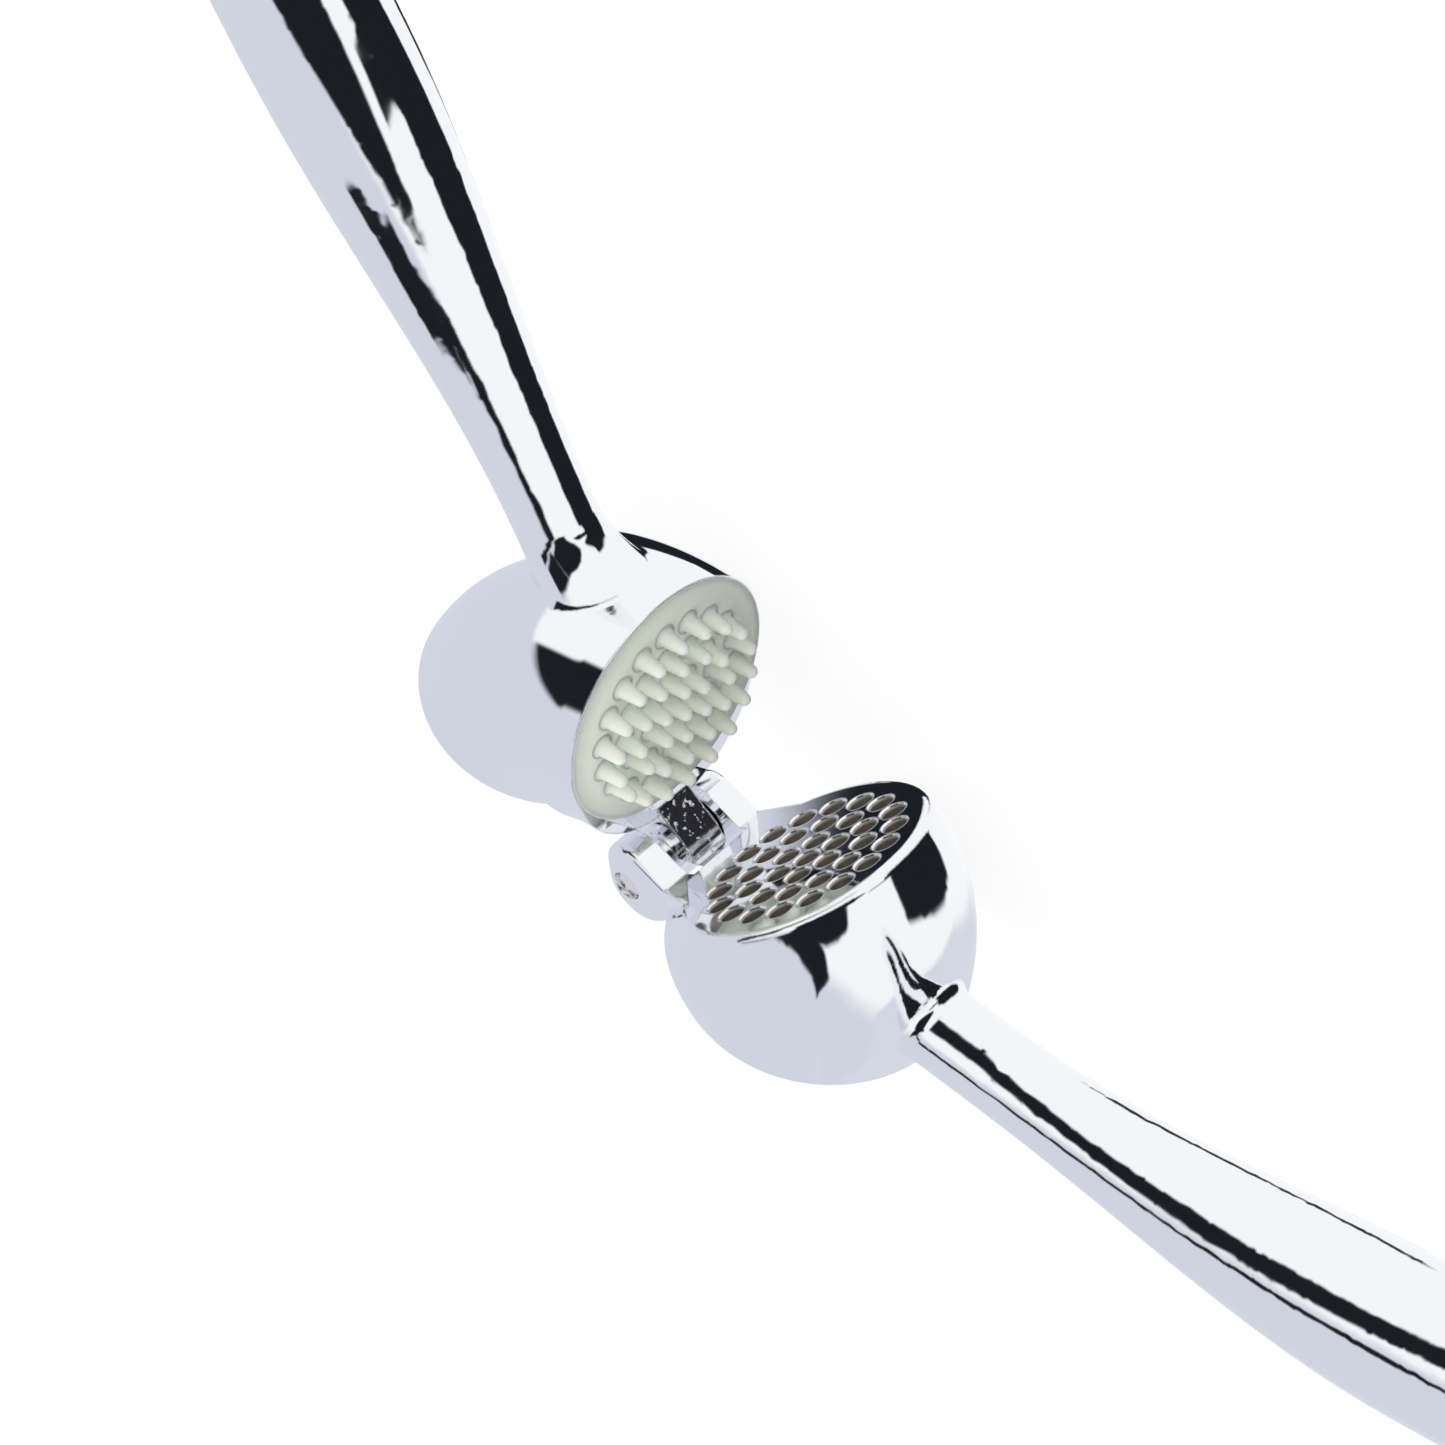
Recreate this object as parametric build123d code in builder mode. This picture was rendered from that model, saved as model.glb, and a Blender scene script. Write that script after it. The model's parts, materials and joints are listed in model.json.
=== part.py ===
from build123d import *
import os
from math import cos, degrees, pi, radians, sin

# Garlic press with a cleaning mat, lying open on its side. All sizes are in millimetres and degrees.
# The origin is the centre of the sieve's outer face. +X runs along the sieve from the hinge to the handle,
# +Y is the way the sieve faces, and +Z runs along the hinge pin.
# The chamber and the plunger are bent round the hinge axis, so that one swings into the other.
# Angles of the levers are turned about the hinge, from the sieve upwards.

# Sieve: a centre hole and rings of six more holes each.
hinge_to_sieve = 22.9
hole_pitch = 3.4
hole_rings = 3
holes_per_ring = 6
hole_diameter = 2.6
hole_mouth_diameter = 3.2
sieve_border = 2.7
sieve_thickness = 2.0
sieve_rounding = 1.0

# Chamber: its bore and its outside are drawn in towards the hinge by the shifts.
bore_margin = 1.1
bore_shift = 1.1
belly_shift = 1.9
belly_wall = 2.8
belly_angle = 25.0
mouth_shift = 1.6
mouth_wall = 2.0
mouth_angle = 42.5
lip_rounding = 0.7
lip_share = 0.47

# Plunger, and the drum that carries it and the mat.
plunger_clearance = 0.35
plunger_wall = 2.6
plunger_rounding = 1.0
press_gap = 1.0
open_angle = 56.0
drum_angle = 26.5
drum_stop_angle = 1.5
drum_lip = 0.6
chin_radius = 13.5
chin_reach = 6.2

# Cleaning mat.
mat_shift = 0.4
mat_margin = 2.8
mat_thickness = 2.0
mat_seat_clearance = 0.1
mat_gap = 0.4
spigot_wall = 1.5
spigot_depth = 3.0
pin_diameter = 1.8
pin_length = 3.5
pin_rounding = 0.8
field_margin = 2.2
field_depth = 0.5

# Hinge.
hinge_pin_diameter = 3.5
hinge_pin_clearance = 0.05
hinge_pin_recess = 0.25
hinge_pin_rounding = 0.5
ear_thickness = 3.4
ear_shift = 1.4
ear_radius = 4.4
ear_drop = 0.6
hump_radius = 3.2
hump_lift = 1.9
ear_rounding = 1.0
ear_reach = 6.6
ear_foot = 1.5
ear_depth = 4.0
apron_inset = 1.6
apron_depth = 1.9
apron_rounding = 0.8
slot_radius = 6.7
slot_clearance = 0.3
knuckle_radius = 3.3
knuckle_width = 8.0
knuckle_clearance = 0.2
tongue_width = 4.8
tongue_bevel = 0.8
tongue_top = 7.9
tongue_radius = 6.1
tongue_foot_angle = 41.0
tongue_heel_angle = 69.0
tongue_back_angle = 19.0

# Handles: bars that leave the heads as slim necks and swell into the grips.
neck_width = 9.3
neck_thickness = 8.2
grip_diameter = 16.5
tip_diameter = 13.0
neck_length = 8.0
grip_distance = 67.0
handle_length = 129.0
tip_flat = 1.0
tip_straight = 0.5
root_depth = 0.7
chamber_root_rounding = 1.8
plunger_root_rounding = 1.8
chamber_root_setback = 7.5
chamber_neck_angle = -39.0
chamber_bend = 14.0
plunger_root_setback = 8.5
plunger_neck_angle = 26.5
plunger_bend = 6.0
neck_spans = 4
bar_spans = 11
plunger_flare = 5.0
plunger_side_flare = 1.5

# Sizes that follow from those above.
pattern_radius = hole_rings * hole_pitch
sieve_radius = pattern_radius + hole_diameter / 2 + sieve_border
bore_radius = pattern_radius + hole_diameter / 2 + bore_margin + bore_shift
bore_distance = hinge_to_sieve - bore_shift
belly_radius = bore_radius + belly_wall
belly_distance = hinge_to_sieve - belly_shift
mouth_radius = bore_radius + mouth_wall
mouth_distance = hinge_to_sieve - mouth_shift
thinnest_lip = mouth_wall + bore_shift - mouth_shift
lip_fillet = min(lip_rounding, lip_share * thinnest_lip)
plunger_radius = bore_radius - plunger_clearance
pocket_radius = plunger_radius - plunger_wall
plunger_sweep = mouth_angle + drum_angle + drum_stop_angle
chamber_root_angle = chamber_root_setback - mouth_angle
plunger_root_angle = drum_angle - plunger_root_setback
mat_distance = hinge_to_sieve + mat_shift
mat_radius = pattern_radius + pin_diameter / 2 + mat_margin
seat_radius = mat_radius + mat_seat_clearance
tongue_reach = mat_distance - seat_radius
field_radius = mat_radius - field_margin
spigot_radius = pocket_radius - mat_seat_clearance
spigot_sweep = degrees((mat_thickness + spigot_depth) / bore_distance)
drum_radius = seat_radius + drum_lip
tip_rounding = (tip_diameter - tip_flat) / 2
tip_length = tip_straight + tip_rounding
bar_length = handle_length - tip_length
slot_width = knuckle_width + 2 * knuckle_clearance
hinge_width = slot_width + 2 * ear_thickness
hinge = Vector(-hinge_to_sieve, mat_gap, 0)
hinge_axis = Axis(hinge, (0, 0, 1))


def polar(radius, angle):
    """Point of a lever's mid-plane at this distance from the hinge and this angle."""
    return Vector(radius, 0).rotate(Axis.Z, angle)


def swing_plane(angle):
    """Plane through the hinge axis, x pointing outwards at this angle and y along the axis."""
    turn = radians(angle)
    return Plane(hinge, x_dir=(cos(turn), sin(turn), 0), z_dir=(sin(turn), -cos(turn), 0))


def lever_plane(angle):
    """Mid-plane of a lever: origin on the hinge, x pointing outwards at this angle, z along the pin."""
    turn = radians(angle)
    return Plane(hinge, x_dir=(cos(turn), sin(turn), 0), z_dir=(0, 0, 1))


def ring_section(plane, distance, radius):
    """Round section of a head at this distance from the hinge, with its seam towards the hinge."""
    with BuildSketch(plane) as section:
        with Locations(Location((distance, 0), 180)):
            Circle(radius)
    return section.sketch


def swell(distance):
    """Share of the handle's swelling at this distance: 0 at the neck, 1 at the grip, as a half cosine."""
    share = min(max((distance - neck_length) / (grip_distance - neck_length), 0), 1)
    return 0.5 - 0.5 * cos(pi * share)


def oval(place, along, width, thickness, forward):
    """Oval section of a handle across its centre line, drawn forward by this much."""
    with BuildSketch(Plane(place, x_dir=(0, 0, 1), z_dir=along)) as section:
        with Locations((0, forward)):
            Ellipse(width / 2, thickness / 2)
    return section.sketch


def neck_sections(start, along, front, side):
    """Sections of a straight neck, flared to the front and the sides where it meets the head."""
    sections = []
    for step in range(neck_spans + 1):
        share = step / neck_spans
        flare = (1 - share) ** 2
        width = neck_width + 2 * side * flare
        thickness = neck_thickness + front * flare
        place = start + along * neck_length * share
        sections.append(oval(place, along, width, thickness, front * flare / 2))
    return sections


def bar_sections(start, along, bend):
    """Sections of a bent bar from the neck to the round tip."""
    with BuildLine() as centre_line:
        bow = JernArc(start, along, (grip_distance - neck_length) / radians(bend), bend)
        Line(bow @ 1, (bow @ 1) + (bow % 1) * (bar_length - grip_distance))
    line = centre_line.wires()[0]
    sections = []
    for step in range(bar_spans):
        spot = step / bar_spans
        distance = neck_length + spot * (bar_length - neck_length)
        past_grip = max(distance - grip_distance, 0) / (bar_length - grip_distance)
        taper = (grip_diameter - tip_diameter) * (0.5 - 0.5 * cos(pi * past_grip))
        width = neck_width + (grip_diameter - neck_width) * swell(distance) - taper
        thickness = neck_thickness + (grip_diameter - neck_thickness) * swell(distance) - taper
        sections.append(oval(line @ spot, line % spot, width, thickness, 0))
    with BuildSketch(Plane(line @ 1, x_dir=(0, 0, 1), z_dir=line % 1)) as tip:
        Circle(tip_diameter / 2)
    return [*sections, tip.sketch]


def nearest_edge(lever, point):
    """The edge of a lever whose middle lies nearest to this point."""
    return lever.edges().sort_by(lambda edge: (edge.center(CenterOf.BOUNDING_BOX) - point).length)[0]


sieve_face = swing_plane(0).offset(mat_gap)
sieve_inside = sieve_face.offset(sieve_thickness)
mouth_plane = swing_plane(-mouth_angle)
mat_face = swing_plane(open_angle)
plunger_face = swing_plane(open_angle + plunger_sweep).offset(mat_gap + sieve_thickness + press_gap)
chamber_frame = lever_plane(0)
plunger_frame = lever_plane(open_angle)


def tongue_outline(frame, room):
    """Side view of the tongue, grown by some room: a slanting front, a round foot and a straight back."""
    with BuildSketch(frame) as outline:
        with BuildLine():
            front = Line((tongue_top, 0), polar(tongue_radius, -tongue_foot_angle))
            turn = tongue_foot_angle - tongue_heel_angle
            foot = CenterArc((0, 0), tongue_radius, -tongue_foot_angle, turn)
            Polyline(foot @ 1, (0, 0), (0, knuckle_radius), polar(slot_radius, tongue_back_angle),
                     polar(tongue_reach, tongue_back_angle), (tongue_reach, 0), front @ 0)
        make_face()
        if room:
            offset(amount=room)
    return outline.sketch


with BuildPart() as bore:
    with BuildSketch(swing_plane(-mouth_angle - drum_angle)):
        with Locations((bore_distance, 0)):
            Circle(bore_radius)
    revolve(axis=hinge_axis, revolution_arc=mouth_angle + drum_angle)
    split(bisect_by=sieve_inside, keep=Keep.TOP)

with BuildPart() as ears:
    with BuildSketch(chamber_frame):
        with Locations((ear_shift, -ear_drop)):
            Circle(ear_radius)
        with Locations((ear_shift, hump_lift)):
            Circle(hump_radius)
        with Locations((ear_reach, -mat_gap)):
            Rectangle(ear_foot, ear_depth, align=(Align.MAX, Align.MAX))
        make_hull()
    extrude(amount=hinge_width / 2, both=True)
    fillet(ears.faces().filter_by(Axis.Z).edges(), ear_rounding)

with BuildPart() as slot:
    with BuildSketch(chamber_frame):
        Circle(slot_radius)
        with Locations((0, -mat_gap)):
            Rectangle(2 * (ear_reach + ear_foot), 2 * ear_radius, align=(Align.CENTER, Align.MIN))
    extrude(amount=slot_width / 2, both=True)
    add(tongue_outline(chamber_frame, slot_clearance))
    extrude(amount=slot_width / 2, both=True)

with BuildPart() as apron:
    with BuildSketch(sieve_face):
        with Locations((hinge_to_sieve, 0)):
            Circle(sieve_radius - apron_inset)
        with Locations((ear_reach, 0)):
            Rectangle(ear_foot, hinge_width, align=(Align.MAX, Align.CENTER))
        make_hull()
    extrude(amount=apron_depth)
    fillet(apron.faces().sort_by(Axis.Y)[-1].edges(), apron_rounding)

with BuildPart() as chamber_lever:
    loft([
        ring_section(sieve_face, hinge_to_sieve, sieve_radius),
        ring_section(swing_plane(-belly_angle), belly_distance, belly_radius),
        ring_section(mouth_plane, mouth_distance, mouth_radius),
    ])
    fillet(chamber_lever.edges().sort_by(Axis.Y)[-1], sieve_rounding)
    add(bore.part, mode=Mode.SUBTRACT)
    mouth = chamber_lever.faces().sort_by(Axis(hinge, mouth_plane.z_dir))[-1]
    fillet(mouth.edges(), lip_fillet)
    along = polar(1, chamber_neck_angle)
    start = hinge + polar(bore_distance + bore_radius + root_depth, chamber_root_angle)
    bar = bar_sections(start + along * neck_length, along, chamber_bend)
    loft(neck_sections(start, along, 0, 0))
    loft(bar)
    chamber_root = hinge + polar(mouth_distance + mouth_radius, chamber_root_angle)
    fillet(nearest_edge(chamber_lever, chamber_root), chamber_root_rounding)
    extrude(bar[-1], amount=tip_length)
    tip_face = chamber_lever.faces().filter_by(GeomType.PLANE).sort_by(Axis.X)[-1]
    fillet(tip_face.edges(), tip_rounding)
    add(apron.part)
    add(ears.part)
    add(slot.part, mode=Mode.SUBTRACT)
    with BuildSketch(chamber_frame):
        Circle(hinge_pin_diameter / 2)
    extrude(amount=hinge_width, both=True, mode=Mode.SUBTRACT)
    with Locations(-Plane.XZ):
        CounterSinkHole(hole_diameter / 2, hole_mouth_diameter / 2, sieve_thickness + press_gap)
        for ring in range(1, hole_rings + 1):
            with PolarLocations(ring * hole_pitch, holes_per_ring * ring):
                CounterSinkHole(hole_diameter / 2, hole_mouth_diameter / 2, sieve_thickness + press_gap)

with BuildPart() as pocket:
    with BuildSketch(mat_face):
        with Locations((bore_distance, 0)):
            Circle(pocket_radius)
    revolve(axis=hinge_axis, revolution_arc=plunger_sweep)
    split(bisect_by=plunger_face.offset(plunger_wall), keep=Keep.TOP)

with BuildPart() as tongue:
    add(tongue_outline(plunger_frame, 0))
    extrude(amount=tongue_width / 2, both=True)
    tongue_front = tongue.faces().filter_by(GeomType.PLANE).sort_by(Axis(hinge, mat_face.z_dir))[-1]
    chamfer(tongue_front.edges().sort_by(Axis.Z)[0], tongue_bevel)
    tongue_front = tongue.faces().filter_by(GeomType.PLANE).sort_by(Axis(hinge, mat_face.z_dir))[-1]
    chamfer(tongue_front.edges().sort_by(Axis.Z)[-1], tongue_bevel)

with BuildPart() as plunger_lever:
    add(ring_section(mat_face, bore_distance, plunger_radius))
    revolve(axis=hinge_axis, revolution_arc=plunger_sweep)
    split(bisect_by=plunger_face, keep=Keep.TOP)
    fillet(plunger_lever.edges().sort_by(Axis(hinge, plunger_face.z_dir))[0], plunger_rounding)
    with BuildSketch(mat_face):
        with Locations(Location((mat_distance, 0), 180)):
            Circle(drum_radius)
        with Locations(Location((chin_reach + chin_radius, 0), 180)):
            Circle(chin_radius)
        make_hull()
    revolve(axis=hinge_axis, revolution_arc=drum_angle)
    along = polar(1, open_angle + plunger_neck_angle)
    start = hinge + polar(bore_distance + plunger_radius, open_angle + plunger_root_angle)
    bar = bar_sections(start + along * neck_length, along, plunger_bend)
    loft(neck_sections(start, along, plunger_flare, plunger_side_flare))
    loft(bar)
    plunger_root = hinge + polar(mat_distance + drum_radius, open_angle + plunger_root_angle)
    fillet(nearest_edge(plunger_lever, plunger_root), plunger_root_rounding)
    extrude(bar[-1], amount=tip_length)
    tip_face = plunger_lever.faces().filter_by(GeomType.PLANE).sort_by(Axis.Y)[-1]
    fillet(tip_face.edges(), tip_rounding)
    add(tongue.part)
    with BuildSketch(plunger_frame):
        Circle(knuckle_radius)
    extrude(amount=knuckle_width / 2, both=True)
    with BuildSketch(plunger_frame):
        Circle(hinge_pin_diameter / 2 + hinge_pin_clearance)
    extrude(amount=knuckle_width, both=True, mode=Mode.SUBTRACT)
    with BuildSketch(mat_face):
        with Locations((mat_distance, 0)):
            Circle(seat_radius)
    extrude(amount=-mat_thickness, mode=Mode.SUBTRACT)
    add(pocket.part, mode=Mode.SUBTRACT)

with BuildPart() as cleaning_mat:
    with BuildSketch(mat_face):
        with Locations((mat_distance, 0)):
            Circle(mat_radius)
    extrude(amount=-mat_thickness)
    with BuildSketch(mat_face):
        with Locations((bore_distance, 0)):
            Circle(spigot_radius)
            Circle(spigot_radius - spigot_wall, mode=Mode.SUBTRACT)
    revolve(axis=hinge_axis, revolution_arc=spigot_sweep)
    with BuildSketch(mat_face):
        with Locations((mat_distance, 0)):
            Circle(field_radius)
    extrude(amount=-field_depth, mode=Mode.SUBTRACT)
    with BuildSketch(mat_face.offset(-field_depth)):
        with Locations((hinge_to_sieve, 0)):
            Circle(pin_diameter / 2)
            for ring in range(1, hole_rings + 1):
                with PolarLocations(ring * hole_pitch, holes_per_ring * ring):
                    Circle(pin_diameter / 2)
    extrude(amount=pin_length + field_depth)
    tips = cleaning_mat.faces().filter_by(GeomType.PLANE).group_by(Axis(hinge, mat_face.z_dir))[-1]
    fillet(tips.edges(), pin_rounding)

with BuildPart() as hinge_pin:
    with BuildSketch(chamber_frame):
        Circle(hinge_pin_diameter / 2)
    extrude(amount=hinge_width / 2 - hinge_pin_recess, both=True)
    fillet(hinge_pin.edges().filter_by(GeomType.CIRCLE), hinge_pin_rounding)

os.makedirs("parts", exist_ok=True)
for name, piece in (
    ("chamber_lever", chamber_lever),
    ("plunger_lever", plunger_lever),
    ("cleaning_mat", cleaning_mat),
    ("hinge_pin", hinge_pin),
):
    piece.part.label = name
    export_step(piece.part, f"parts/{name}.step")
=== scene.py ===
# %% [markdown]
# # A chrome garlic press in a small white studio
# The press is two chromed levers on one hinge pin. The lower lever ends in a pierced chamber, the upper
# one in a drum that carries the curved plunger at its back and a soft cleaning mat on its front. The
# solids come from CAD and are already in place, so this script only dresses them: finishes, the soft
# mat, the studio and the camera. Everything is in metres, in the same frame as the solids.

# %% Load the solids
import bmesh
import bpy
import json
import numpy as np
from mathutils import Matrix, Vector


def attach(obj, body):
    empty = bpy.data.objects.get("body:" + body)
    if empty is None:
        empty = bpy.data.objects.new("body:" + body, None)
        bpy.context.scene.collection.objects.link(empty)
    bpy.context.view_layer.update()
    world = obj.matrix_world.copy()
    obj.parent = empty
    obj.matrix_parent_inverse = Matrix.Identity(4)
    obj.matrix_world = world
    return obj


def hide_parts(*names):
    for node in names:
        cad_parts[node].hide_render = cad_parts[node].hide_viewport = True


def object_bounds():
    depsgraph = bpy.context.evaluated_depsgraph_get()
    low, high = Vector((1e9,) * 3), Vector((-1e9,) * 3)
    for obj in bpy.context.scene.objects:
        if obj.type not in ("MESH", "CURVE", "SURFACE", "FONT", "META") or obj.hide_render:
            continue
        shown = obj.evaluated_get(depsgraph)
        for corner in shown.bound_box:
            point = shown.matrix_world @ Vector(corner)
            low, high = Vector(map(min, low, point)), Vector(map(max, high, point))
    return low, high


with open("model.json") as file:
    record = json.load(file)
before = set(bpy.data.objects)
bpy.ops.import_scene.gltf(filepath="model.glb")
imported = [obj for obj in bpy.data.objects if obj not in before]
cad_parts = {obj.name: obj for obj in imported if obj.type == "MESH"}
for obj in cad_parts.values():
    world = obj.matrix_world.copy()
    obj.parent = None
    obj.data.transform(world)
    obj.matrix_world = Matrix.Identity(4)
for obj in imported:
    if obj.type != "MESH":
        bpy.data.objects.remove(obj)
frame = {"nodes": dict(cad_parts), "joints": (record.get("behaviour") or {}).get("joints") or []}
cad_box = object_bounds()
MM = 0.001
print("solids:", sorted(frame["nodes"]))
print("CAD box in mm:", [[round(x / MM, 1) for x in corner] for corner in cad_box])

# %% [markdown]
# ## Where things are
# All the shapes of a press are bent round its hinge, so most places here are easiest to say as a
# distance from the hinge and an angle about it. The hinge point comes from the joint in the record. The
# mat sits on the upper lever, which stands open by 56 degrees, so the mat has its own three directions:
# outwards from the hinge, along the pin, and the way its face looks. The distances below run outwards from
# the hinge to the middle of the sieve's holes, of the chamber's bore and of the mat.

# %% Hinge and mat directions
hinge = np.array(frame["joints"][0]["pos_m"])
OPEN_ANGLE = np.radians(56.0)
SIEVE_DISTANCE = 22.9 * MM
BORE_DISTANCE = 21.8 * MM
MAT_DISTANCE = 23.3 * MM
outwards = np.array([np.cos(OPEN_ANGLE), np.sin(OPEN_ANGLE), 0.0])
along_pin = np.array([0.0, 0.0, 1.0])
mat_facing = np.cross(outwards, along_pin)
mat_centre = hinge + MAT_DISTANCE * outwards
pins_centre = hinge + SIEVE_DISTANCE * outwards
print("hinge at", np.round(hinge / MM, 2), "mm, mat faces", np.round(mat_facing, 3))

# %% [markdown]
# ## Camera
# The photograph looks down the open jaws from the front, turned so that the handles run off at two
# corners. A long lens from 65 cm keeps the perspective flat, as product photographs do. The three
# directions below are the camera's right, up and back, and they are the columns of its rotation.

# %% Place the camera
camera_right = np.array([0.5962, -0.4419, -0.6703])
camera_up = np.array([-0.0281, 0.8229, -0.5675])
camera_back = np.cross(camera_right, camera_up)
aim = np.array([-5.60, 15.43, -2.13]) * MM
CAMERA_DISTANCE = 650 * MM
FRAME_WIDTH = 150.4 * MM
SENSOR_WIDTH = 36.0

camera = bpy.data.objects.new("camera", bpy.data.cameras.new("camera"))
bpy.context.scene.collection.objects.link(camera)
turn = Matrix([camera_right, camera_up, camera_back]).transposed().to_4x4()
camera.matrix_world = Matrix.Translation(aim + CAMERA_DISTANCE * camera_back) @ turn
camera.data.sensor_width = SENSOR_WIDTH
camera.data.lens = SENSOR_WIDTH * CAMERA_DISTANCE / FRAME_WIDTH
camera.data.clip_start = 0.01
camera.data.dof.use_dof = False
bpy.context.scene.camera = camera
print("lens", round(camera.data.lens, 1), "mm")

# %% [markdown]
# ## Three small helpers for materials
# Colours are written as web hex values, which are sRGB, and Blender's sockets want linear light, so one
# function turns one into the other. A second function adds any node to a tree, sets its options and
# fills its sockets with values or with links, so that a material below reads as a list of nodes. A third
# starts an empty material.

# %% Colour and node helpers
def linear(hex_colour):
    """sRGB hex to linear RGBA: a channel c becomes ((c + 0.055) / 1.055) ** 2.4, or c / 12.92 near black."""
    c = np.array([int(hex_colour[i:i + 2], 16) for i in (1, 3, 5)]) / 255
    return (*np.where(c > 0.04045, ((c + 0.055) / 1.055) ** 2.4, c / 12.92).tolist(), 1.0)


def add_node(tree, kind, sockets=None, **options):
    """Adds a node, sets its options, and gives each named or numbered socket a value or a link."""
    node = tree.nodes.new(kind)
    for option, value in options.items():
        setattr(node, option, value)
    for socket, value in (sockets or {}).items():
        if isinstance(value, bpy.types.NodeSocket):
            tree.links.new(value, node.inputs[socket])
        else:
            node.inputs[socket].default_value = value
    return node


def new_material(name):
    """An empty node material with its output node, as (material, tree, output)."""
    material = bpy.data.materials.new(name)
    material.use_nodes = True
    material.node_tree.nodes.clear()
    return material, material.node_tree, material.node_tree.nodes.new("ShaderNodeOutputMaterial")


print("white is", linear("#FFFFFF"), "and mid grey is", np.round(linear("#808080"), 3))

# %% [markdown]
# ## The studio's white
# Chrome has no colour of its own: it shows the room. The room here is a plain white sweep, as bright as
# white paper in the picture, so that the background is white.

# %% White world
world = bpy.data.worlds.new("white_sweep")
bpy.context.scene.world = world
world.use_nodes = True
sky = world.node_tree
sky.nodes.clear()
white = add_node(sky, "ShaderNodeBackground", {"Color": linear("#FFFFFF"), "Strength": 1.0})
add_node(sky, "ShaderNodeOutputWorld", {"Surface": white.outputs[0]})
bpy.context.scene.view_settings.view_transform = "Standard"
print("world nodes:", len(sky.nodes))

# %% [markdown]
# ## Floor
# The press lies on its side on a pale floor. The floor is a matt white sheet. For the camera alone it
# also glows a little, so that it comes out as white as the sweep while the soft shadow under the press
# stays.

# %% Pale floor
def grid_faces(rows, columns, closed=False):
    """Quads between neighbours of a grid of points; closed joins the last column to the first."""
    i, j = np.meshgrid(np.arange(rows - 1), np.arange(columns if closed else columns - 1), indexing="ij")
    k = (j + 1) % columns
    quads = np.stack([i * columns + j, i * columns + k, (i + 1) * columns + k, (i + 1) * columns + j], -1)
    return quads.reshape(-1, 4)


def surface_object(name, points, faces, material):
    """A smooth mesh object at the origin from an (n, 3) array of points and an (m, 4) array of faces."""
    mesh = bpy.data.meshes.new(name)
    mesh.from_pydata(points, [], faces.tolist())
    mesh.polygons.foreach_set("use_smooth", np.ones(len(faces), bool))
    mesh.materials.append(material)
    piece = bpy.data.objects.new(name, mesh)
    bpy.context.scene.collection.objects.link(piece)
    return piece


floor_paint, tree, output = new_material("matt_white_floor")
matt = add_node(tree, "ShaderNodeBsdfDiffuse", {"Color": linear("#808082")})
rays = add_node(tree, "ShaderNodeLightPath")
glow = add_node(tree, "ShaderNodeMath", {0: rays.outputs["Is Camera Ray"], 1: 0.83}, operation="MULTIPLY")
glow = add_node(tree, "ShaderNodeEmission", {"Color": linear("#FFFFFF"), "Strength": glow.outputs[0]})
both = add_node(tree, "ShaderNodeAddShader", {0: matt.outputs[0], 1: glow.outputs[0]})
tree.links.new(both.outputs[0], output.inputs["Surface"])

FLOOR_GAP = 0.2 * MM
FLOOR_REACH = 3.0
floor_z = cad_box[0].z - FLOOR_GAP
corners = FLOOR_REACH * np.array([[-1, -1, 0], [1, -1, 0], [1, 1, 0], [-1, 1, 0]]) + [0, 0, floor_z]
floor = surface_object("floor", corners, np.array([[0, 1, 2, 3]]), floor_paint)
floor.visible_glossy = False
print("floor at", round(floor_z / MM, 2), "mm")

# %% [markdown]
# ## Cards round the press
# A photographer gives chrome its shape with cards: black ones draw the dark streaks along the handles,
# and tinted ones fill the large plain faces. Each card here is a patch of a sphere round the press, so
# its place can be said with two angles as the camera sees them: sideways from the camera's own
# direction, and up. Its cover fades out over a few degrees at the border, as the blurred edge of a card
# near the press would. Only mirror-like rays see the cards, so they shade nothing and never stand in a
# picture.

# %% Card builder
def smooth_step(start, end, x):
    """Rises from 0 to 1 between start and end as 3 s^2 - 2 s^3."""
    share = np.clip((x - start) / (end - start), 0, 1)
    return share * share * (3 - 2 * share)


def card_surface(sideways, top, bottom, fade, distance, centre, rows=40, columns=80):
    """Patch of a sphere: for each sideways angle a, heights e run from bottom(a) to top(a), in degrees.
    The point is centre + distance * (back cos e cos a + right cos e sin a + up sin e).
    The cover is 1 inside and falls to 0 at the border."""
    a = np.linspace(sideways[0], sideways[-1], columns)
    low, high = np.interp(a, sideways, bottom), np.interp(a, sideways, top)
    e = low + (high - low) * np.linspace(0, 1, rows)[:, None]
    to_side = np.minimum(a - a[0], a[-1] - a)
    to_end = np.minimum(e - low, high - e)
    cover = smooth_step(0, fade, to_side) * smooth_step(0, fade, to_end)
    a, e = np.radians(a)[None, :], np.radians(e)
    parts = np.cos(e) * np.cos(a), np.cos(e) * np.sin(a), np.sin(e)
    ways = camera_back, camera_right, camera_up
    points = centre + distance * sum(part[..., None] * way for part, way in zip(parts, ways))
    return points.reshape(-1, 3), grid_faces(rows, columns), cover.ravel()


def hang_card(name, colour, sideways, top, bottom, fade, distance, centre=aim):
    """Makes one card that only mirror-like rays see."""
    paint, tree, output = new_material(name)
    clear = add_node(tree, "ShaderNodeBsdfTransparent")
    glow = add_node(tree, "ShaderNodeEmission", {"Color": linear(colour)})
    cover = add_node(tree, "ShaderNodeAttribute", attribute_name="cover")
    blend = add_node(tree, "ShaderNodeMixShader",
                     {0: cover.outputs["Fac"], 1: clear.outputs[0], 2: glow.outputs[0]})
    tree.links.new(blend.outputs[0], output.inputs["Surface"])
    points, faces, shares = card_surface(sideways, top, bottom, fade, distance, centre)
    card = surface_object(name, points, faces, paint)
    card.data.attributes.new("cover", "FLOAT", "POINT").data.foreach_set("value", shares)
    for ray in ("camera", "diffuse", "transmission", "volume_scatter", "shadow"):
        setattr(card, "visible_" + ray, False)
    return card


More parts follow.
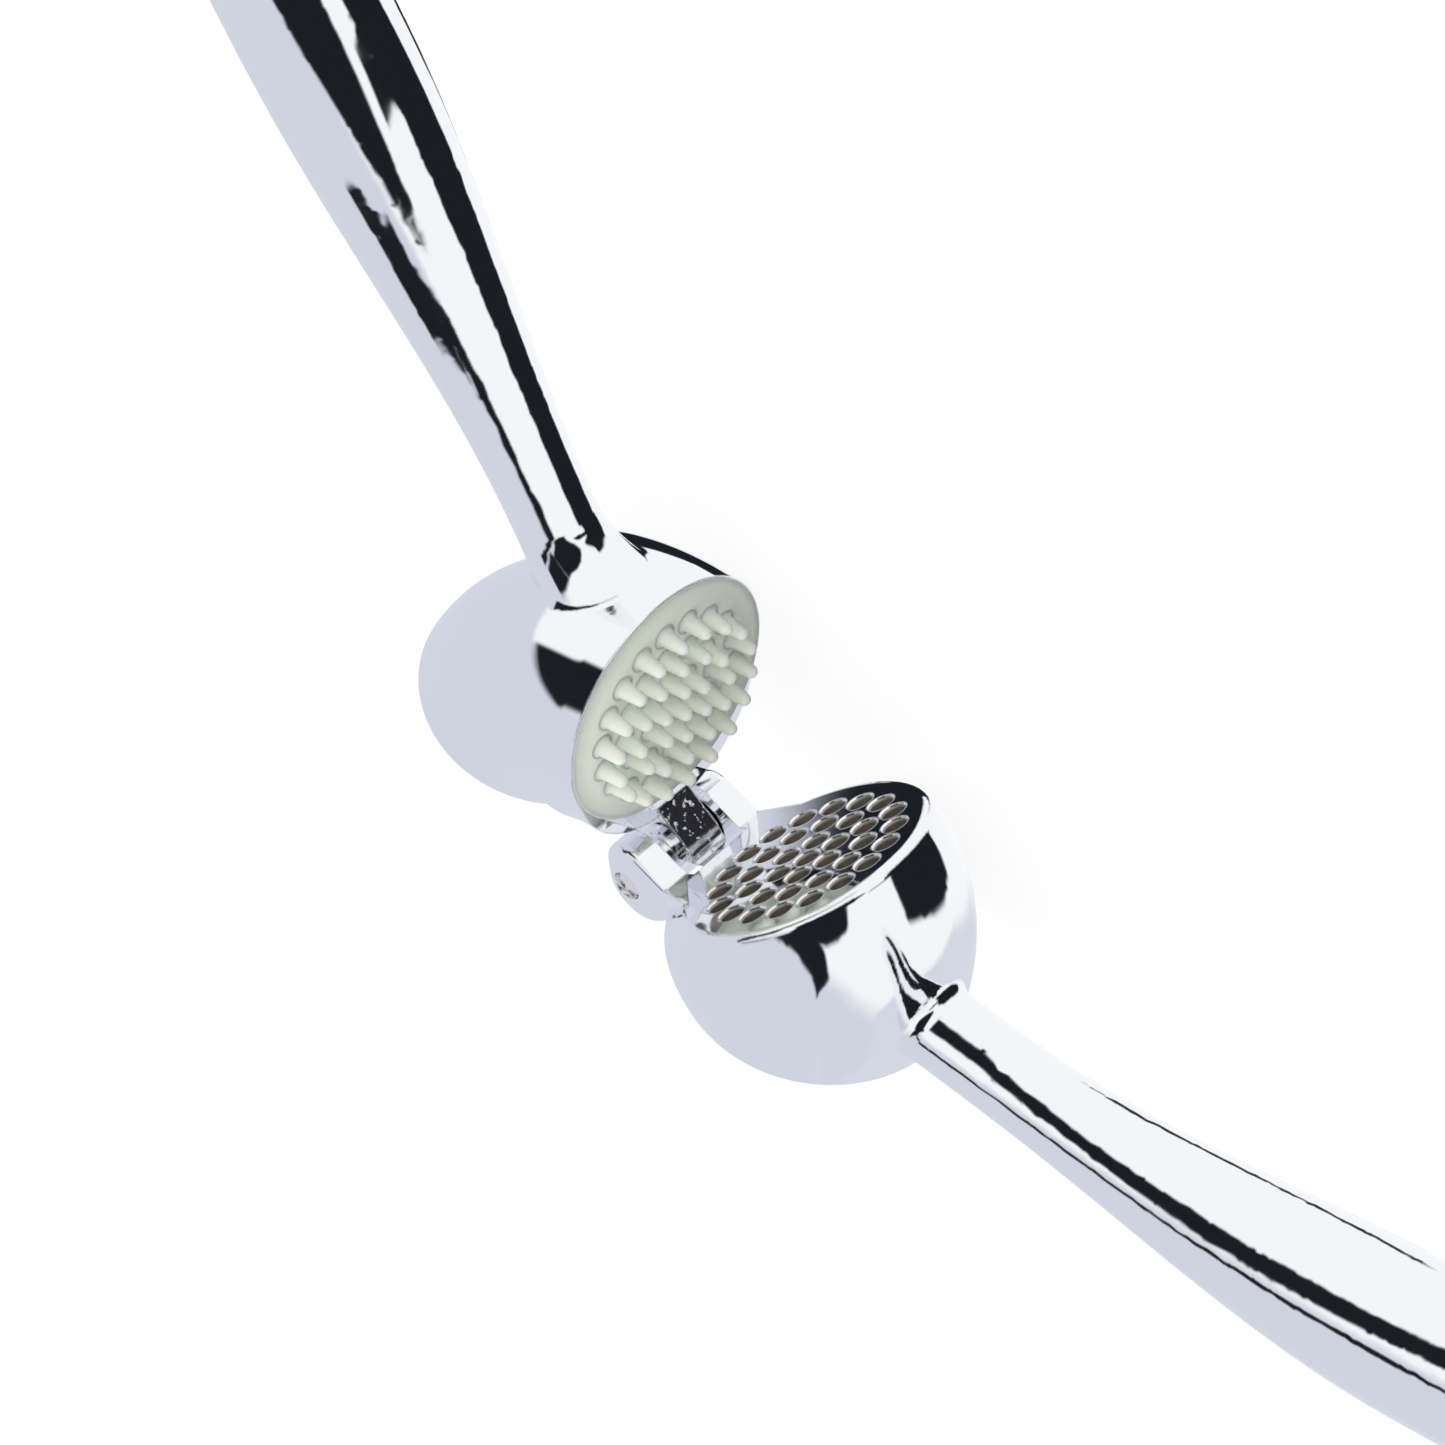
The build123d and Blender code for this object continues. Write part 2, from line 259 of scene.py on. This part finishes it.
print("halfway through a fade the cover is", smooth_step(0, 4, 2))

# %% [markdown]
# ## Where the cards hang
# A lilac sweep stands to the left and below and tints the two round heads, with a paler card to the
# right. In front of them hang the black ones. Large flags beside the camera and behind the press draw the
# dark fields on the drum, the handles and the sieve. The strip below hangs close to the upper handle, so
# that its line wanders along the handle, and the two front cards darken the root of that handle.

# %% Hang the cards
FAR = 620 * MM
NEAR = 560 * MM
neck_root = np.array([-13.3, 34.0, 0.0]) * MM
upper_handle = np.array([-10.6, 52.7, 0.0]) * MM
LILAC = "#D8DBE5"
PALE_LILAC = "#DCDFE8"
BLACK = "#1E1F26"
cards = [
    hang_card("lilac_sweep", LILAC, [-190, -140, -86, -80, -60, -36, -10, 14, 60, 88, 122, 190],
              [44, 60, 60, 0, -4, -14, -40, -54, -57, -52, -20, -10], [-104] * 12, 14, FAR),
    hang_card("pale_card_right", PALE_LILAC, [84, 104, 122, 150, 190],
              [-48, -26, -6, 2, 0], [-66] * 5, 6, 600 * MM),
    hang_card("black_flag_left", BLACK, [-83, -74, -66, -57, -50, -30, -5],
              [23, 22, 21, 24, 26, 38, 56], [-13, -10, -4, 0, 4, 18, 45], 3, NEAR),
    hang_card("black_flag_right", BLACK, [46, 62, 80, 100, 113, 124],
              [30, 37, 37, 35, 29, 18], [6, -1, -21, -13, -6, 3], 3, NEAR),
    hang_card("black_strip_right", BLACK, [43, 58, 75], [-9, 5, 15], [-21, -8, 3], 2, NEAR),
    hang_card("black_strip_below", BLACK, [-78, -50, -40, -22, -10, 5, 14, 30, 42],
              [-42, -47, -50, -53.5, -53.5, -52.5, -53.5, -57, -65],
              [-51.5, -57, -58.6, -61.5, -63, -66, -68, -72, -76], 2, 160 * MM, upper_handle),
    hang_card("black_card_front", BLACK, [-28, -15, 0, 15, 26, 36],
              [-10, -7, 1, 5, 4, 0], [-40, -44, -50, -50, -46, -38], 3, NEAR, neck_root),
    hang_card("black_card_close", BLACK, [-66, -45, -24],
              [-18, -12, -8], [-33, -37, -42], 3, 60 * MM, neck_root),
    hang_card("black_flag_behind", BLACK, [146, 155, 162, 171, 180, 186, 195, 205.5],
              [54, 42, 36, 39, 41, 46, 48, 50], [47, 35, 20, 17, 12, 27, 32, 36.2], 2, NEAR),
]
print("cards:", [card.name for card in cards])

# %% [markdown]
# ## Key light
# One soft box, to the right of the camera and above it, gives the mat its light and shade. The white
# world fills in the rest. The chrome doesn't mirror the box, because the cards alone draw its reflections.

# %% Soft box
LAMP_DISTANCE = 0.55
key = bpy.data.objects.new("soft_box", bpy.data.lights.new("soft_box", "AREA"))
bpy.context.scene.collection.objects.link(key)
key.data.size = 0.35
key.data.energy = 0.9
lamp_way = Vector(camera_back * 0.80 + camera_right * 0.50 + camera_up * 0.33).normalized()
key.location = Vector(aim) + LAMP_DISTANCE * lamp_way
key.rotation_mode = "QUATERNION"
key.rotation_quaternion = lamp_way.to_track_quat("Z", "Y")
key.visible_glossy = False
print("soft box", round(key.data.energy, 2), "W from", [round(x, 2) for x in lamp_way])

# %% [markdown]
# ## Polished chrome plate
# The levers are zinc castings, polished by hand and plated with copper, nickel and chrome. The plate is
# a mirror, but hand polishing leaves slow waves a few millimetres long, which make the edges of
# reflections run a little, and hairlines that soften them here and there. The waves go into a bump of a
# few micrometres, the hairlines into the roughness.

# %% Chrome nodes
def chrome_coat(tree, place):
    """Wavy mirror shared by both levers: returns its roughness and its normal as sockets."""
    round_off = add_node(tree, "ShaderNodeBevel", {"Radius": 0.3 * MM}, samples=4)
    waves = add_node(tree, "ShaderNodeTexNoise", {"Vector": place, "Scale": 1 / (9 * MM), "Detail": 1.0})
    ripple = add_node(tree, "ShaderNodeBump", {
        "Height": waves.outputs[0], "Strength": 1.0, "Distance": 0.007 * MM, "Normal": round_off.outputs[0]})
    cloud = add_node(tree, "ShaderNodeTexNoise", {"Vector": place, "Scale": 1 / (4 * MM), "Detail": 3.0})
    polish = add_node(tree, "ShaderNodeMapRange", {
        "Value": cloud.outputs[0], "From Min": 0.35, "From Max": 0.7, "To Min": 0.025, "To Max": 0.06})
    return polish.outputs[0], ripple.outputs[0]


def axis_distance(tree, place, origin, direction):
    """Distance of a point along a direction from an origin: the dot product (p - o) . d."""
    moved = add_node(tree, "ShaderNodeVectorMath", {0: place, 1: tuple(origin)}, operation="SUBTRACT")
    along = add_node(tree, "ShaderNodeVectorMath", {0: moved.outputs[0], 1: tuple(direction)},
                     operation="DOT_PRODUCT")
    return along.outputs["Value"]


def hinge_distance(tree, place):
    """Distance of a point from the hinge's axis: the length of (p - hinge) without its z."""
    moved = add_node(tree, "ShaderNodeVectorMath", {0: place, 1: tuple(hinge)}, operation="SUBTRACT")
    flat = add_node(tree, "ShaderNodeVectorMath", {0: moved.outputs[0], 1: (1, 1, 0)}, operation="MULTIPLY")
    return add_node(tree, "ShaderNodeVectorMath", {0: flat.outputs[0]}, operation="LENGTH").outputs["Value"]


CHROME = "#F4F5F8"
print("chrome tint", np.round(linear(CHROME)[:3], 3))

# %% [markdown]
# ## Chamber lever
# The outside is polished. The inside of the chamber and the walls of the holes can't be reached by a
# polishing wheel, so they keep the duller skin of the casting under the plate, which makes them rougher.
# Their brownish grey colour is painted shade: it stands in for the dark reflections and the shade inside
# the bore. The inside is a ring bent round the hinge: a point belongs to it when it is nearer to the
# ring's centre line than the bore's radius. The wheel reaches a little way into the mouths of the holes,
# so their rims keep the bright plate and no painted shade.

# %% Chamber finish
BORE_RADIUS = 13.74 * MM
BRIGHT_RIM_DEPTH = 0.17 * MM
chamber_chrome, tree, output = new_material("chrome_plate_with_painted_shade_in_cast_bore")
place = add_node(tree, "ShaderNodeTexCoord").outputs["Object"]
polish, ripple = chrome_coat(tree, place)
spot = add_node(tree, "ShaderNodeSeparateXYZ", {0: place})
reach = add_node(tree, "ShaderNodeMath", {0: hinge_distance(tree, place), 1: BORE_DISTANCE},
                 operation="SUBTRACT")
from_ring = add_node(tree, "ShaderNodeCombineXYZ", {0: reach.outputs[0], 1: spot.outputs["Z"]})
from_ring = add_node(tree, "ShaderNodeVectorMath", {0: from_ring.outputs[0]}, operation="LENGTH")
inside = add_node(tree, "ShaderNodeMath", {0: from_ring.outputs["Value"], 1: BORE_RADIUS},
                  operation="LESS_THAN")
below = add_node(tree, "ShaderNodeMath", {0: spot.outputs["Y"], 1: -BRIGHT_RIM_DEPTH},
                 operation="LESS_THAN")
bore = add_node(tree, "ShaderNodeMath", {0: inside.outputs[0], 1: below.outputs[0]}, operation="MULTIPLY")
dull = add_node(tree, "ShaderNodeMix", {"Factor": bore.outputs[0], "A": polish, "B": 0.45},
                data_type="FLOAT")
# Painted shade: the brownish grey colour inside the bore stands in for the dark reflections and shade there.
chrome_and_painted_bore_shade = add_node(tree, "ShaderNodeMix",
                {"Factor": bore.outputs[0], "A": linear(CHROME), "B": linear("#ADA69F")}, data_type="RGBA")
plate = add_node(tree, "ShaderNodeBsdfPrincipled", {
    "Base Color": chrome_and_painted_bore_shade.outputs["Result"], "Metallic": 1.0,
    "Roughness": dull.outputs["Result"], "Normal": ripple})
tree.links.new(plate.outputs[0], output.inputs["Surface"])
frame["nodes"]["chamber_lever"].data.materials.clear()
frame["nodes"]["chamber_lever"].data.materials.append(chamber_chrome)
print("chamber lever:", len(tree.nodes), "nodes")

# %% [markdown]
# ## Plunger lever
# The same chrome, but the tongue that reaches into the hinge is left as it came from the mould: the
# plate lies on a rough face with streaks along the slope, which looks dark with bright specks. The
# rough part is found by place: it lies in front of the mat's plane and within the tongue's width. The
# grain's coordinate runs slower down the slope than across it, which draws the grain out into streaks.

# %% Plunger finish
STREAK_PACE = 0.3
plunger_chrome, tree, output = new_material("chrome_plate_with_cast_tongue")
place = add_node(tree, "ShaderNodeTexCoord").outputs["Object"]
polish, ripple = chrome_coat(tree, place)
down_slope = (outwards - mat_facing) / np.sqrt(2)
ahead = axis_distance(tree, place, hinge, mat_facing)
across = axis_distance(tree, place, hinge, along_pin)
slope = axis_distance(tree, place, hinge, STREAK_PACE * down_slope)
width = add_node(tree, "ShaderNodeMath", {0: across}, operation="ABSOLUTE")
in_front = add_node(tree, "ShaderNodeMapRange",
                    {"Value": ahead, "From Min": 0.2 * MM, "From Max": 0.5 * MM})
on_tongue = add_node(tree, "ShaderNodeMapRange",
                     {"Value": width.outputs[0], "From Min": 2.6 * MM, "From Max": 2.42 * MM})
rough_cast = add_node(tree, "ShaderNodeMath", {0: in_front.outputs[0], 1: on_tongue.outputs[0]},
                      operation="MULTIPLY").outputs[0]
streaks = add_node(tree, "ShaderNodeCombineXYZ", {0: slope, 1: across, 2: ahead})
grain = add_node(tree, "ShaderNodeTexNoise",
                 {"Vector": streaks.outputs[0], "Scale": 1 / (0.7 * MM), "Detail": 4.0, "Roughness": 0.6})
pits = add_node(tree, "ShaderNodeMapRange", {"Value": grain.outputs[0], "From Min": 0.6, "From Max": 0.74})
skin = add_node(tree, "ShaderNodeBump", {
    "Height": pits.outputs[0], "Strength": rough_cast, "Distance": 0.06 * MM, "Normal": ripple})
dull = add_node(tree, "ShaderNodeMapRange", {"Value": rough_cast, "To Min": polish, "To Max": 0.12})
plate = add_node(tree, "ShaderNodeBsdfPrincipled", {
    "Base Color": linear(CHROME), "Metallic": 1.0,
    "Roughness": dull.outputs[0], "Normal": skin.outputs[0]})
tree.links.new(plate.outputs[0], output.inputs["Surface"])
frame["nodes"]["plunger_lever"].data.materials.clear()
frame["nodes"]["plunger_lever"].data.materials.append(plunger_chrome)
print("plunger lever:", len(tree.nodes), "nodes")

# %% [markdown]
# ## Turned shapes
# The pin and the mat are lathe shapes. Each is a profile of radii and heights turned about an axis.
# Where the profile touches the axis a whole ring of points falls together, so the points are welded and
# the pole is closed.

# %% Lathe
def turned(radius, height, centre, axes, sides):
    """Surface of revolution: point = centre + radius (first cos t + second sin t) + height axis."""
    first, second, axis = axes
    t = np.linspace(0, 2 * np.pi, sides, endpoint=False)
    ring = np.cos(t)[:, None] * first + np.sin(t)[:, None] * second
    points = centre + radius[:, None, None] * ring[None] + height[:, None, None] * axis
    return points.reshape(-1, 3), grid_faces(len(radius), sides, closed=True)


def weld(piece):
    """Joins points of a piece that lie in the same place."""
    shape = bmesh.new()
    shape.from_mesh(piece.data)
    bmesh.ops.remove_doubles(shape, verts=shape.verts, dist=0.0005 * MM)
    shape.to_mesh(piece.data)
    shape.free()


print("lathe ready")

# %% [markdown]
# ## Hinge pin
# A plain steel pin, turned on a lathe, with slightly domed ends that stand a little below the ears.
# Turning leaves fine rings on it, so the bump of the finish depends only on the distance from the pin's
# axis. The pin's own sizes below are in millimetres: its radius, where its domes start, and their height.

# %% Pin finish
PIN_RADIUS = 1.72
PIN_SHOULDER = 6.85
PIN_DOME = 0.5
TURNING_PITCH = 0.15 * MM
pin_steel, tree, output = new_material("turned_steel")
place = add_node(tree, "ShaderNodeTexCoord").outputs["Object"]
rings = add_node(tree, "ShaderNodeMath", {0: hinge_distance(tree, place), 1: 2 * np.pi / TURNING_PITCH},
                 operation="MULTIPLY")
rings = add_node(tree, "ShaderNodeMath", {0: rings.outputs[0]}, operation="SINE")
lathe = add_node(tree, "ShaderNodeBump",
                 {"Height": rings.outputs[0], "Strength": 0.5, "Distance": 0.0006 * MM})
blotches = add_node(tree, "ShaderNodeTexNoise", {"Vector": place, "Scale": 1 / (1.2 * MM), "Detail": 3.0})
worn = add_node(tree, "ShaderNodeMapRange", {"Value": blotches.outputs[0], "To Min": 0.1, "To Max": 0.22})
plate = add_node(tree, "ShaderNodeBsdfPrincipled", {
    "Base Color": linear("#EFEBE6"), "Metallic": 1.0,
    "Roughness": worn.outputs[0], "Normal": lathe.outputs[0]})
tree.links.new(plate.outputs[0], output.inputs["Surface"])

quarter = np.linspace(0, 1, 12) * np.pi / 2
lower_end = -PIN_SHOULDER - PIN_DOME * np.cos(quarter)
upper_end = PIN_SHOULDER + PIN_DOME * np.sin(quarter)
pin_r = np.concatenate([PIN_RADIUS * np.sin(quarter), PIN_RADIUS * np.cos(quarter)]) * MM
pin_h = np.concatenate([lower_end, upper_end]) * MM
pin = surface_object("hinge_pin_turned", *turned(pin_r, pin_h, hinge, np.eye(3), 64), pin_steel)
weld(pin)
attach(pin, "chamber")
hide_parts("hinge_pin")
print("hinge pin:", len(pin.data.vertices), "points and", len(tree.nodes), "nodes")

# %% [markdown]
# ## Cleaning mat: the disc
# The mat is moulded in soft, slightly see-through silicone. Its face has a flat rim with a thin flange
# over the drum's lip, a gentle slope and a slightly raised field that carries the pins. The disc is a
# lathe shape: a profile of radii and heights, turned about the mat's own axis.

# %% Disc
MAT_AXES = outwards, along_pin, mat_facing


def disc_profile():
    """From the middle of the back round the edge to the middle of the face, in mm."""
    face_r = np.linspace(14.36, 0.0, 60)
    face_h = 0.1 + 0.22 * smooth_step(12.9, 11.3, face_r)
    radius = np.concatenate([[0.0, 7.0, 13.8, 13.9, 13.9, 14.36, 14.4], face_r])
    height = np.concatenate([[-2.0, -2.0, -2.0, -1.9, 0.02, 0.02, 0.06], face_h])
    return radius * MM, height * MM


disc = turned(*disc_profile(), mat_centre, MAT_AXES, 128)
print("disc:", len(disc[0]), "points")

# %% [markdown]
# ## Cleaning mat: the pins
# One pin stands over each hole of the sieve. A moulded pin has a fillet at its foot, tapers so that it
# leaves the mould, and ends in a dome. One profile holds all three, and the same turning function makes
# every pin: a middle one and rings of six, twelve and eighteen.

# %% Pins in rings
HOLE_PITCH = 3.4 * MM
HOLE_RINGS = 3


def pin_profile():
    """Closed foot, fillet, tapering shaft and domed tip, in mm above the drum's front."""
    foot = np.linspace(0, np.pi / 2, 7)
    shaft = np.linspace(0, 1, 4)
    dome = np.linspace(0, np.pi / 2, 9)
    radius = np.concatenate([[0.0], 1.5 - 0.54 * np.sin(foot), 0.94 - 0.17 * shaft, 0.74 * np.cos(dome)])
    height = np.concatenate([[0.2], 0.9 - 0.6 * np.cos(foot), 1.1 + 1.4 * shaft, 2.7 + 0.8 * np.sin(dome)])
    return radius * MM, height * MM


def ring_spots(ring, pitch):
    """Centres of one ring's pins, from the middle: 6 * ring of them at ring * pitch, or one for ring 0."""
    count = max(6 * ring, 1)
    t = 2 * np.pi * np.arange(count) / count
    return ring * pitch * (np.cos(t)[:, None] * outwards + np.sin(t)[:, None] * along_pin)


spots = pins_centre + np.concatenate([ring_spots(ring, HOLE_PITCH) for ring in range(HOLE_RINGS + 1)])
pins = [turned(*pin_profile(), spot, MAT_AXES, 28) for spot in spots]
print("pins:", len(pins), "of", len(pins[0][0]), "points each")

# %% [markdown]
# ## Cleaning mat: the spigot
# Behind the disc a short ring plugs into the hollow plunger and keeps the mat in place. It can't be
# seen while the mat is on, so a plain turned ring is enough.

# %% Join the mat
spigot_r = np.array([9.2, 10.6, 10.6, 9.2, 9.2]) * MM
spigot_h = np.array([-4.6, -4.6, -1.6, -1.6, -4.6]) * MM
spigot = turned(spigot_r, spigot_h, hinge + BORE_DISTANCE * outwards, MAT_AXES, 64)
shapes = [disc, *pins, spigot]
starts = np.cumsum([0] + [len(points) for points, _ in shapes])
mat_points = np.concatenate([points for points, _ in shapes])
mat_faces = np.concatenate([faces + start for (_, faces), start in zip(shapes, starts)])
print("mat:", len(mat_points), "points and", len(mat_faces), "faces")

# %% [markdown]
# ## Silicone
# Pale green silicone, moulded in a satin mould. Light goes a millimetre or two into it before it comes
# out again, so the pins look soft. Their tips, which get light from all round, are painted paler than
# the field between them: painted light at the tips and painted shade lower down between the pins. The
# scatter lengths below are in millimetres for red, green and blue.

# %% Mat finish
silicone, tree, output = new_material("moulded_silicone")
place = add_node(tree, "ShaderNodeTexCoord").outputs["Object"]
rise = axis_distance(tree, place, hinge, mat_facing)
# Painted light: the colour grows paler with height from the field to the pin tips, on top of a random milky
# tone.
tip = add_node(tree, "ShaderNodeMapRange", {"Value": rise, "From Min": 0.3 * MM, "From Max": 3.4 * MM})
milk = add_node(tree, "ShaderNodeTexNoise", {"Vector": place, "Scale": 1 / (5 * MM), "Detail": 2.0})
milky_tone_and_painted_tip_light = add_node(tree, "ShaderNodeMath", {0: milk.outputs[0], 1: 0.25, 2: tip.outputs[0]},
                 operation="MULTIPLY_ADD")
green = add_node(tree, "ShaderNodeMix",
                 {"Factor": milky_tone_and_painted_tip_light.outputs[0], "A": linear("#EAF3E4"), "B": linear("#F6FAEE")},
                 data_type="RGBA")
satin = add_node(tree, "ShaderNodeTexNoise", {"Vector": place, "Scale": 1 / (0.25 * MM), "Detail": 2.0})
grain = add_node(tree, "ShaderNodeBump",
                 {"Height": satin.outputs[0], "Strength": 0.25, "Distance": 0.01 * MM})
body = add_node(tree, "ShaderNodeBsdfPrincipled", {
    "Base Color": green.outputs["Result"], "Roughness": 0.42, "IOR": 1.41, "Normal": grain.outputs[0],
    "Subsurface Weight": 0.5, "Subsurface Radius": (0.8, 1.0, 0.75), "Subsurface Scale": 1 * MM})
tree.links.new(body.outputs[0], output.inputs["Surface"])
mat = surface_object("cleaning_mat_silicone", mat_points, mat_faces, silicone)
weld(mat)
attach(mat, "plunger")
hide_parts("cleaning_mat")
print("mat material:", len(tree.nodes), "nodes")
